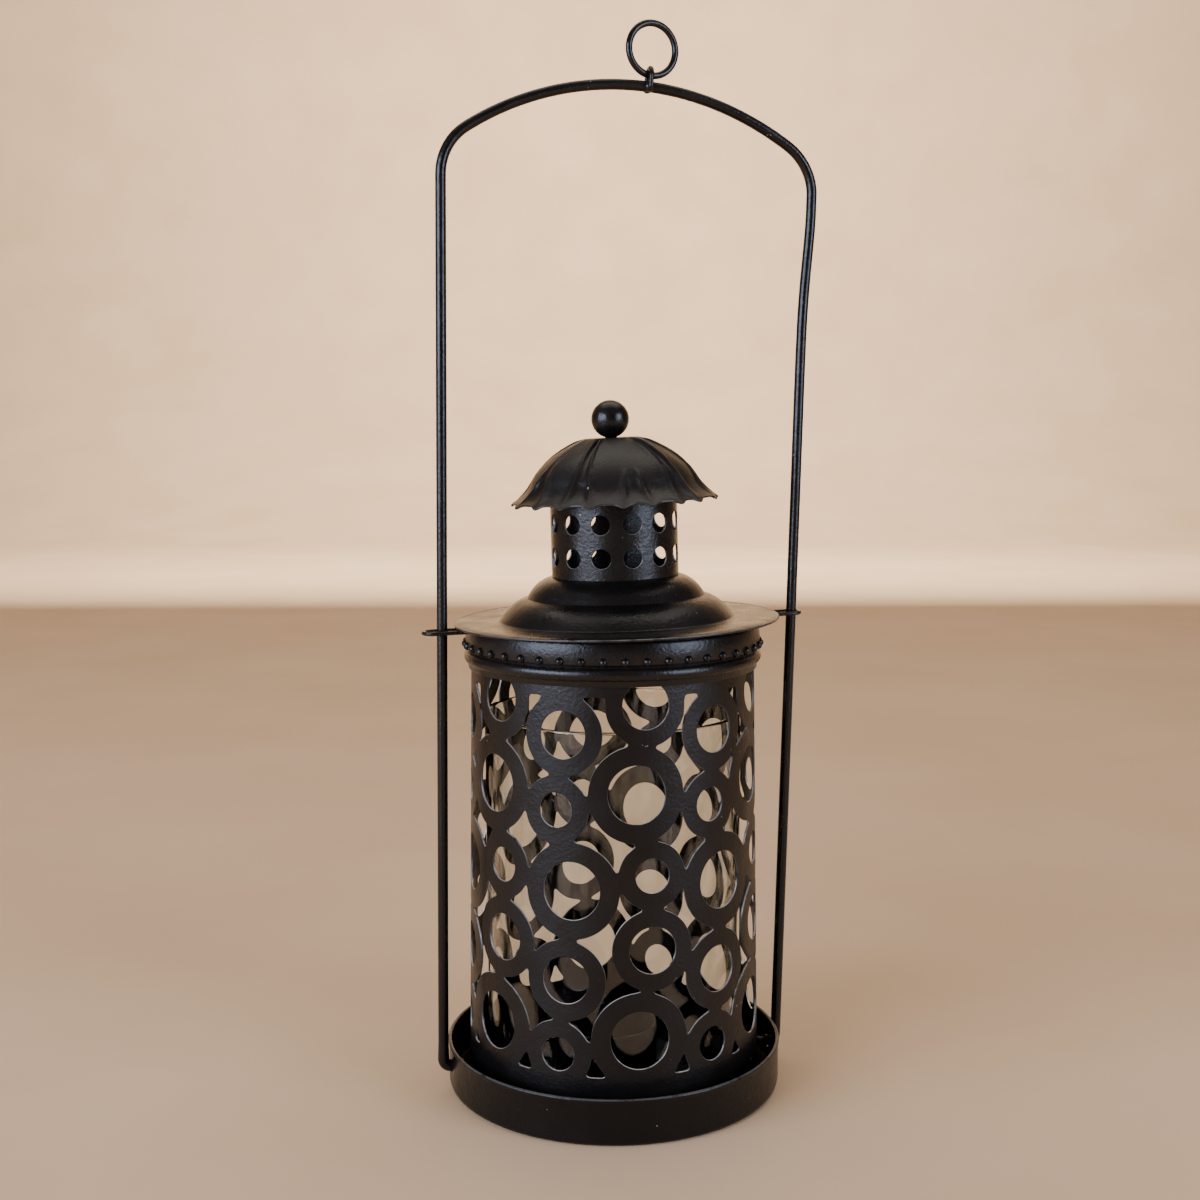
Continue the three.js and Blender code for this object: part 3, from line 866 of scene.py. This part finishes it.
def make_cup():
    """The low cup that holds the candle."""
    radius = (cup_high[0] - cup_low[0]) / 2
    middle = (cup_high[0] + cup_low[0]) / 2
    low, high = cup_low[2], cup_high[2]
    outline = [
        (0, low), (radius, low), (radius, high), (radius - SHEET, high),
        (radius - SHEET, low + SHEET), (0, low + SHEET),
    ]
    soft = rounded(outline, 0.6, 4, closed=False)
    place = Matrix.Translation((middle, 0, 0))
    make_piece("cup", [lathe(soft, 72)], CUP_LOOK, "base", "candle_cup", place)


# ---- Bail, staple and ring ------------------------------------------------------------------

def bail_half():
    """Points of the right half of the bail, from its foot to its crown, and its arch's centre."""
    width = BAIL_FOOT + BAIL_LEG * BAIL_SPLAY
    shoulder_x = width - SHOULDER
    fall = math.sqrt((ARCH - SHOULDER) ** 2 - shoulder_x ** 2)
    arch_centre = BAIL_LEG - fall
    turn = math.degrees(math.atan2(fall, shoulder_x))
    points = [(BAIL_FOOT - BAIL_REACH, 0, 0), (BAIL_FOOT - FOOT_BEND - 1, 0, 0)]
    points += arc(BAIL_FOOT - FOOT_BEND, FOOT_BEND, FOOT_BEND, -90, 0, 8)
    for height in np.linspace(10, BAIL_LEG - 8, 60):
        points.append((BAIL_FOOT + height * BAIL_SPLAY, 0, height))
    points += arc(shoulder_x, BAIL_LEG, SHOULDER, 0, turn, 16)
    points += arc(0, arch_centre, ARCH, turn, 90, 24)[1:]
    return points, arch_centre


def make_bail():
    """The bail, one bent wire from foot to foot."""
    half, _ = bail_half()
    right = []
    for x, y, z in half:
        shift = FLARE_SIZE * math.exp(-(((z - FLARE_HEIGHT) / FLARE_REACH) ** 2))
        right.append((x + shift, y, z))
    left = [(-x, y, z) for x, y, z in half[:-1]]
    points = right + left[::-1]
    radii = [
        BAIL_RADIUS + (HAMMERED if x < 0 and z < HAMMERED_TOP else 0) for x, _, z in points
    ]
    wire = sweep(points, radii, 24)
    make_piece("bail", [wire], WIRE_LOOK, "base", "bail_wire", BAIL_PLACE)


def make_staple():
    """The staple on the bail's crown, with a weld at each of its ends."""
    _, arch_centre = bail_half()
    tilt = math.asin(STAPLE_OFFSET / ARCH)
    crown = arch_centre + ARCH * math.cos(tilt)
    reach, leg = STAPLE_HALF, STAPLE_LEG
    sunk = -0.6  # how far its ends go down beside the bail
    points = [(reach, 0, z) for z in np.linspace(sunk, leg, 6)]
    points += arc(0, leg, reach, 0, 180, 16)[1:]
    points += [(-reach, 0, z) for z in np.linspace(leg, sunk, 6)[1:]]
    wire = sweep(points, STAPLE_WIRE, 16)
    place = (
        BAIL_PLACE @ Matrix.Translation((STAPLE_OFFSET, 0, crown))
        @ Matrix.Rotation(tilt, 4, "Y") @ Matrix.Rotation(math.pi / 2, 4, "Z")
    )
    welds = []
    for side in (-1, 1):
        turn = Matrix.Rotation(side * math.pi / 2, 4, "Y")
        spot = Matrix.Translation((side * 2.2, 0, -0.2)) @ turn
        welds.append(placed(dome(1.9, 1.3), spot))
    make_piece("staple", [wire, *welds], WIRE_LOOK, "base", "ring_eye", place)


def make_ring():
    """The ring in the staple, by which the lantern hangs."""
    low, high = box_mm("hanging_ring")
    radius = (high[2] - low[2] - CAD_RING_THICKNESS) / 2
    middle = [(a + b) / 2 for a, b in zip(low, high)]
    steps = 72
    points = []
    for k in range(steps):
        angle = 2 * math.pi * k / steps
        points.append((radius * math.cos(angle), 0, radius * math.sin(angle)))
    place = Matrix.Translation(middle) @ Matrix.Rotation(math.radians(RING_TURN), 4, "Z")
    ring = sweep(points, RING_WIRE, 20, closed=True)
    make_piece("ring", [ring], WIRE_LOOK, "hanger", "hanging_ring", place)


# ---- Lid ------------------------------------------------------------------------------------

def make_lid_plate():
    """The lid: a dome of two rounded steps on a flat rim, with a rolled hem."""
    curve = [(22.4, STACK_BASE)]
    curve += bend((24.6, STACK_BASE), (31, 15.8), (34.0, 9.9), 12)
    curve += bend((34.3, 9.5), (40.5, 8.0), (45.0, 1.6), 12)
    curve += bend((45.2, 1.3), (45.8, 0.85), (47.5, SHEET), 4)
    curve += [(52, SHEET), (57, SHEET), (HEM_RADIUS - 0.5, SHEET)]
    plate = lathe(sheet_loop(curve), 180)
    hem = [
        (HEM_RADIUS + 0.62 * math.cos(a), 0.38 + 0.5 * math.sin(a))
        for a in np.linspace(0, 2 * math.pi, 14, endpoint=False)
    ]
    # The outer side of the hem is mixed towards the bright metal colour, a thin pale line.
    paleness = [0.3 if radius > HEM_RADIUS + 0.2 else 0 for radius, _ in hem]
    rim = lathe(hem, 180, paleness)
    make_piece("lid", [plate, rim], LID_LOOK, "lid", "lid_plate", LID_PLACE)


def make_skirt():
    """The ring under the lid that keeps it in the middle of the cage."""
    inside = SKIRT_RADIUS - SHEET
    outline = [
        (inside, SKIRT_BOTTOM), (SKIRT_RADIUS, SKIRT_BOTTOM),
        (SKIRT_RADIUS, SKIRT_TOP), (inside, SKIRT_TOP),
    ]
    ring = lathe(rounded(outline, 0.25, 3), 144)
    make_piece("skirt", [ring], LID_LOOK, "lid", "lid_skirt", LID_PLACE)


def make_eyelet(name, node, side):
    """A wire hairpin under the lid's rim, round one leg of the bail, with four blobs of solder."""
    half, inner, outer = EYELET_HALF, EYELET_INNER, EYELET_OUTER
    points = [(x, half, 0) for x in np.linspace(inner, outer, 8)]
    for angle in np.radians(np.linspace(90, -90, 17))[1:-1]:
        points.append((outer + half * math.cos(angle), half * math.sin(angle), 0))
    points += [(x, -half, 0) for x in np.linspace(outer, inner, 8)]
    parts = [sweep(points, EYELET_WIRE, 14)]
    for y in (-half, half):
        for x in (58.2, 61.0):
            spot = Matrix.Translation((x, y, 0.6)) @ Matrix.Rotation(math.pi, 4, "X")
            parts.append(placed(dome(1.25, 1.1), spot))
    turn = Matrix.Rotation(0 if side > 0 else math.pi, 4, "Z")
    place = LID_PLACE @ Matrix.Translation((0, 0, -EYELET_DROP)) @ turn
    make_piece(name, parts, WIRE_LOOK, "lid", node, place)


def make_chimney():
    """The chimney, a sheet with two rows of round holes rolled into a tube."""
    mean = CHIMNEY_RADIUS - SHEET / 2
    width = 2 * math.pi * mean - SEAM_GAP
    plain = 360 - (CHIMNEY_HOLES - 1) * CHIMNEY_STEP  # the stretch without holes, at the seam
    seam = math.radians(CHIMNEY_FIRST - plain / 2)
    low, high = 0.05, CHIMNEY_TOP

    def field(x, z):
        metal = np.full(np.shape(x), -FAR)
        for row in CHIMNEY_ROWS:
            for k in range(CHIMNEY_HOLES):
                centre = math.radians(plain / 2 + CHIMNEY_STEP * k) * mean
                metal = np.maximum(metal, CHIMNEY_HOLE - np.hypot(x - centre, z - row))
        border = np.maximum.reduce([-x, x - width, low - z, z - high])
        return np.maximum(metal, border)

    def roll(x, depth, z):
        radius = CHIMNEY_RADIUS - depth
        angle = seam + (x + SEAM_GAP / 2) / mean
        return radius * math.cos(angle), radius * math.sin(angle), z

    tube = pierced_tube(field, width, low, high, roll, spacing=0.6, bevel=0.14)
    make_piece("chimney_tube", [tube], LID_LOOK, "lid", "chimney", STACK_PLACE)


def cap_surface(share, angle):
    """A point of the cap's outer face: share runs from the crown to the edge."""
    split = 0.72  # the share at which the cap's two curves meet
    if share < split:
        radius, height = bend_at((CAP_FLAT, CAP_TOP), CAP_BULGE, CAP_SHOULDER, share / split)
    else:
        along = (share - split) / (1 - split)
        edge = (CAP_EDGE - 0.7, CAP_EDGE_HEIGHT)
        radius, height = bend_at(CAP_SHOULDER, CAP_SWELL, edge, along)
    lower = max((share - 0.5) / 0.5, 0)
    crown_reach = 4.2  # degrees from a fold's middle to its ridges on the crown
    crown_height, edge_height = 1.3, 3.2  # of the ridges
    rise = 0
    corner = 0
    for middle, spread, crispness in CAP_FOLDS:
        off = (angle - middle + 180) % 360 - 180
        reach = crown_reach + (spread - crown_reach) * lower
        width = 1.4 + 1.9 * lower
        pair = math.exp(-(((off - reach) / width) ** 2)) + math.exp(-(((off + reach) / width) ** 2))
        upper = crown_height * crispness * max(1 - (share / 0.66) ** 4, 0)
        rise += (upper + edge_height * lower) * pair
        rise -= 0.7 * (upper + lower) * math.exp(-((off / (reach * 0.6)) ** 2))
        corner += pair
    # The ridges fade in round the crown. At the edge they pull the rim out and down.
    push = 0.85 * rise * min(share / 0.08, 1) * (1 - 0.5 * lower ** 3)
    radius += push * (0.3 + 0.5 * share) + 0.35 * corner * lower ** 3
    height += push * (0.85 - 0.6 * share) + lower ** 3 * (0.8 - 1.6 * corner)
    turn = math.radians(angle)
    return np.array((radius * math.cos(turn), radius * math.sin(turn), height))


def make_cap():
    """The fluted cap, one sheet whose lower edge is worn bright."""
    segments, rows = 480, 44
    outer = np.array([
        [cap_surface(j / rows, 360 * i / segments) for i in range(segments)]
        for j in range(rows + 1)
    ])
    centre_ring = outer[0] * (2.4 / CAP_FLAT, 2.4 / CAP_FLAT, 1)
    inner_flat = outer[0] * (6 / CAP_FLAT, 6 / CAP_FLAT, 1)
    outer = np.concatenate([[centre_ring, inner_flat], outer])
    down = np.gradient(outer, axis=0)
    across = (np.roll(outer, -1, axis=1) - np.roll(outer, 1, axis=1)) / 2
    normal = np.cross(down, across)
    normal /= np.maximum(np.linalg.norm(normal, axis=2), 1e-9)[:, :, None]
    inner = outer - normal * SHEET
    tip = (outer[-1] + inner[-1]) / 2
    outward_edge = outer[-1] - outer[-2]
    outward_edge /= np.linalg.norm(outward_edge, axis=1)[:, None]
    tip = tip + outward_edge * 0.25
    grid = np.concatenate([outer, [tip], inner[::-1]])
    rings = len(grid)
    vertices = grid.reshape(-1, 3)
    faces = []
    for j in range(rings):
        low, high = j * segments, ((j + 1) % rings) * segments
        for i in range(segments):
            n = (i + 1) % segments
            faces.append((low + i, low + n, high + n, high + i))
    bare_and_highlight = np.zeros(len(vertices))
    edge_row = len(outer)
    bare_and_highlight[edge_row * segments:(edge_row + 1) * segments] = 0.7
    make_piece("cap", [(vertices, faces, bare_and_highlight)], CAP_LOOK, "lid", "flower_cap", CAP_PLACE)


def make_ball():
    """The ball on the cap, with a short neck."""
    outline = [(0, CAP_TOP - 0.1), (NECK_RADIUS, CAP_TOP - 0.1)]
    start = math.asin((NECK_RADIUS + 0.1) / BALL_RADIUS)
    for angle in np.linspace(start, math.pi, 40):
        radius = BALL_RADIUS * math.sin(angle)
        outline.append((max(radius, 0), BALL_HEIGHT - BALL_RADIUS * math.cos(angle)))
    outline[-1] = (0, BALL_HEIGHT + BALL_RADIUS)
    ball = lathe(outline, 72)
    make_piece("ball", [ball], WIRE_LOOK, "lid", "finial_ball", CAP_PLACE)


def make_rivet():
    """The rivet that holds the ball, with its head under the cap."""
    head_top = CAP_TOP - SHEET - 0.3
    tip = CAP_TOP - 0.2
    outline = [
        (0, head_top - 1.2), (2.6, head_top - 1.1),
        (RIVET_HEAD, head_top - 0.5), (RIVET_HEAD, head_top),
        (RIVET_RADIUS, head_top), (RIVET_RADIUS, tip), (0, tip),
    ]
    rivet = lathe(rounded(outline, 0.25, 3, closed=False), 32)
    make_piece("rivet", [rivet], WIRE_LOOK, "lid", "finial_stem", CAP_PLACE)


make_tray()
make_cage()
make_band()
make_glass()
make_cup()
make_bail()
make_staple()
make_ring()
make_lid_plate()
make_skirt()
make_eyelet("eyelet_a", "eyelet_left", -1)
make_eyelet("eyelet_b", "eyelet_right", 1)
make_chimney()
make_cap()
make_ball()
make_rivet()


# ---- Stage, light and camera ----------------------------------------------------------------

CAMERA_TURN = -14  # degrees round the lantern from the front of the CAD frame
CAMERA_DISTANCE = 594.2
CAMERA_HEIGHT = 256.4
CAMERA_PITCH = 6.36
CAMERA_YAW = 0.46
CAMERA_ROLL = -0.2
CAMERA_LENS = 46.47
CAMERA_SENSOR = 36

GROUND_LIGHT = 0.03
OVERHEAD_LIGHT = 0.24
WARM_AIR = (1.0, 0.86, 0.74)
DAYLIGHT = (0.66, 0.76, 1.0)
CEILING_LIGHT = (1.0, 0.92, 0.82)
WALL_LIGHT = (1.0, 0.99, 0.98)


def make_floor():
    """A pale floor that curves up into a backdrop far behind the lantern, in metres."""
    half_width, reach, rise, radius = 6, 4.0, 3.0, 1.2
    start = reach - radius
    outline = [(-reach, 0.0), (start, 0.0)]
    for angle in np.radians(np.linspace(-90, 0, 17))[1:]:
        outline.append((start + radius * math.cos(angle), radius + radius * math.sin(angle)))
    outline.append((reach, rise))
    turn = Matrix.Rotation(math.radians(CAMERA_TURN), 4, "Z")
    vertices, faces = [], []
    for y, z in outline:
        vertices.append(turn @ Vector((-half_width, y, z)))
        vertices.append(turn @ Vector((half_width, y, z)))
    for k in range(len(outline) - 1):
        faces.append((2 * k, 2 * k + 1, 2 * k + 3, 2 * k + 2))
    mesh = bpy.data.meshes.new("floor")
    mesh.from_pydata(vertices, [], faces)
    mesh.shade_smooth()
    nodes = Nodes("pale_floor")
    grain = nodes.remap(nodes.noise(6, 5), 0.3, 0.7)
    colour = nodes.mix(grain, FLOOR_DARK, FLOOR_LIGHT)
    nodes.link(colour, nodes.shader.inputs["Base Color"])
    nodes.shader.inputs["Roughness"].default_value = 0.75
    mesh.materials.append(nodes.material)
    floor = bpy.data.objects.new("floor", mesh)
    bpy.context.collection.objects.link(floor)


def make_camera():
    """The camera, at the photograph's viewing angle."""
    data = bpy.data.cameras.new("camera")
    data.lens = CAMERA_LENS
    data.sensor_width = CAMERA_SENSOR
    camera = bpy.data.objects.new("camera", data)
    bpy.context.collection.objects.link(camera)
    turn = math.radians(CAMERA_TURN)
    place = Vector((math.sin(turn), -math.cos(turn), 0)) * CAMERA_DISTANCE
    place.z = CAMERA_HEIGHT
    camera.matrix_world = (
        Matrix.Translation(place * MM)
        @ Matrix.Rotation(math.radians(CAMERA_TURN + CAMERA_YAW), 4, "Z")
        @ Matrix.Rotation(math.radians(90 - CAMERA_PITCH), 4, "X")
        @ Matrix.Rotation(math.radians(CAMERA_ROLL), 4, "Z")
    )
    bpy.context.scene.camera = camera


def make_light(name, turn, height, distance, width, tall, power, colour, aim=(0, 0, 0.2)):
    """A soft box so many degrees round the lantern from the camera, aimed at a point.

    Its height, distance and size are in metres and its power in watts.
    """
    data = bpy.data.lights.new(name, "AREA")
    data.shape = "RECTANGLE"
    data.size, data.size_y = width, tall
    data.energy = power
    data.color = colour
    light = bpy.data.objects.new(name, data)
    bpy.context.collection.objects.link(light)
    angle = math.radians(CAMERA_TURN + turn)
    light.location = (distance * math.sin(angle), -distance * math.cos(angle), height)
    towards = Vector(aim) - light.location
    light.rotation_euler = towards.to_track_quat("-Z", "Y").to_euler()


def make_world():
    """Soft warm light from everywhere, dim near the ground and brighter overhead."""
    world = bpy.data.worlds.new("studio")
    world.use_nodes = True
    tree = world.node_tree
    background = tree.nodes["Background"]
    direction = tree.nodes.new("ShaderNodeTexCoord")
    parts = tree.nodes.new("ShaderNodeSeparateXYZ")
    tree.links.new(direction.outputs["Generated"], parts.inputs["Vector"])
    height = tree.nodes.new("ShaderNodeMapRange")
    height.inputs["From Min"].default_value = 0.1
    height.inputs["From Max"].default_value = 0.9
    height.inputs["To Min"].default_value = GROUND_LIGHT
    height.inputs["To Max"].default_value = OVERHEAD_LIGHT
    tree.links.new(parts.outputs["Z"], height.inputs["Value"])
    tree.links.new(height.outputs["Result"], background.inputs["Strength"])
    background.inputs["Color"].default_value = (*WARM_AIR, 1)
    bpy.context.scene.world = world


# The point behind the lantern that the hidden wall light is aimed at.
behind = Matrix.Rotation(math.radians(CAMERA_TURN), 4, "Z") @ Vector((0, 4, 1.2))

make_floor()
make_camera()
make_world()
make_light("window_left", -50, 0.55, 1.6, 1.3, 0.9, 44, DAYLIGHT)
make_light("window_right", 57, 0.55, 1.6, 0.8, 0.9, 22, DAYLIGHT)
make_light("ceiling", 180, 2.6, 0.6, 3.0, 2.0, 34, CEILING_LIGHT)
make_light("backdrop", 180, 1.2, 1.6, 2.4, 1.4, 165, WALL_LIGHT, behind)
